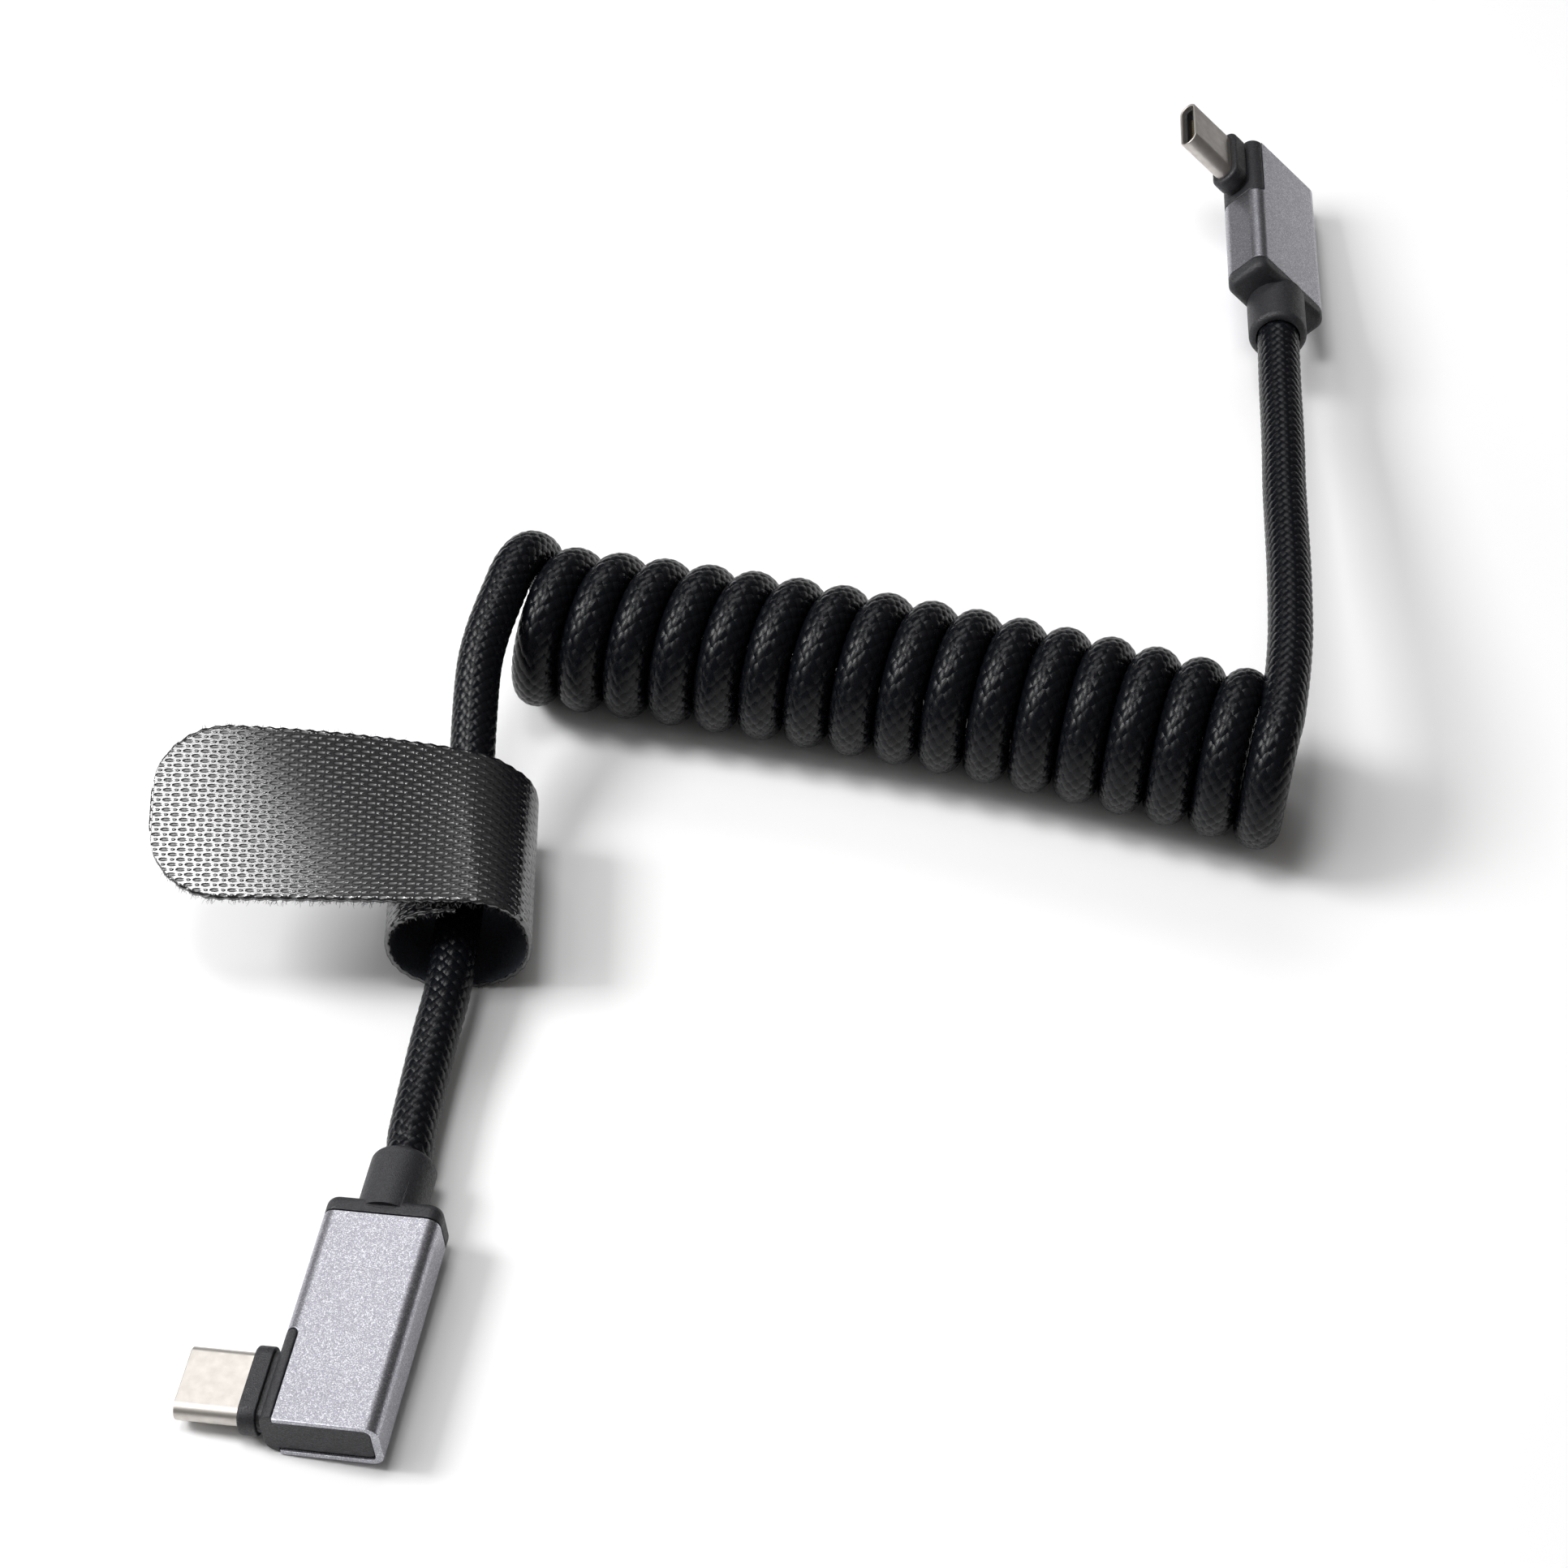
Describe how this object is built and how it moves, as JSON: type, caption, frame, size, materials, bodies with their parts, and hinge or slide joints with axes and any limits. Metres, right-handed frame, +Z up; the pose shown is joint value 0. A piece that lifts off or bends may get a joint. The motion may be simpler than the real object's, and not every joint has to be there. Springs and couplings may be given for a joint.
{
  "type": "braided usb-c cable",
  "caption": "Braided USB-C to USB-C cable with a wound coil in its middle, right-angle metal plugs and a hook-and-loop tidy strap.",
  "frame": {"origin": "on the surface the cable lies on, below the middle of the two plugs and the strap", "axes": "+Z up, +Y from the left plug to the right plug as the cable lies, +X to the right along the coil"},
  "size_m": [0.133, 0.1874, 0.0192],
  "materials": {
    "anodised_aluminium": "bead-blasted, anodised grey, satin",
    "black_moulding": "fine spark-eroded matt black",
    "plated_steel": "satin nickel plate",
    "black_insulator": "smooth black",
    "black_braid": "satin nylon braid",
    "strap_weave": "glossy black hook weave outside, loop pile inside"
  },
  "bodies": {
    "root": {"left_sleeve": "anodised_aluminium", "left_core": "black_moulding", "left_cap": "black_moulding", "left_shell": "plated_steel", "left_insulator": "black_insulator", "right_sleeve": "anodised_aluminium", "right_core": "black_moulding", "right_cap": "black_moulding", "right_shell": "plated_steel", "right_insulator": "black_insulator", "left_lead": "black_braid", "coil": "black_braid", "right_lead": "black_braid", "strap": "strap_weave"}
  },
  "joints": []
}
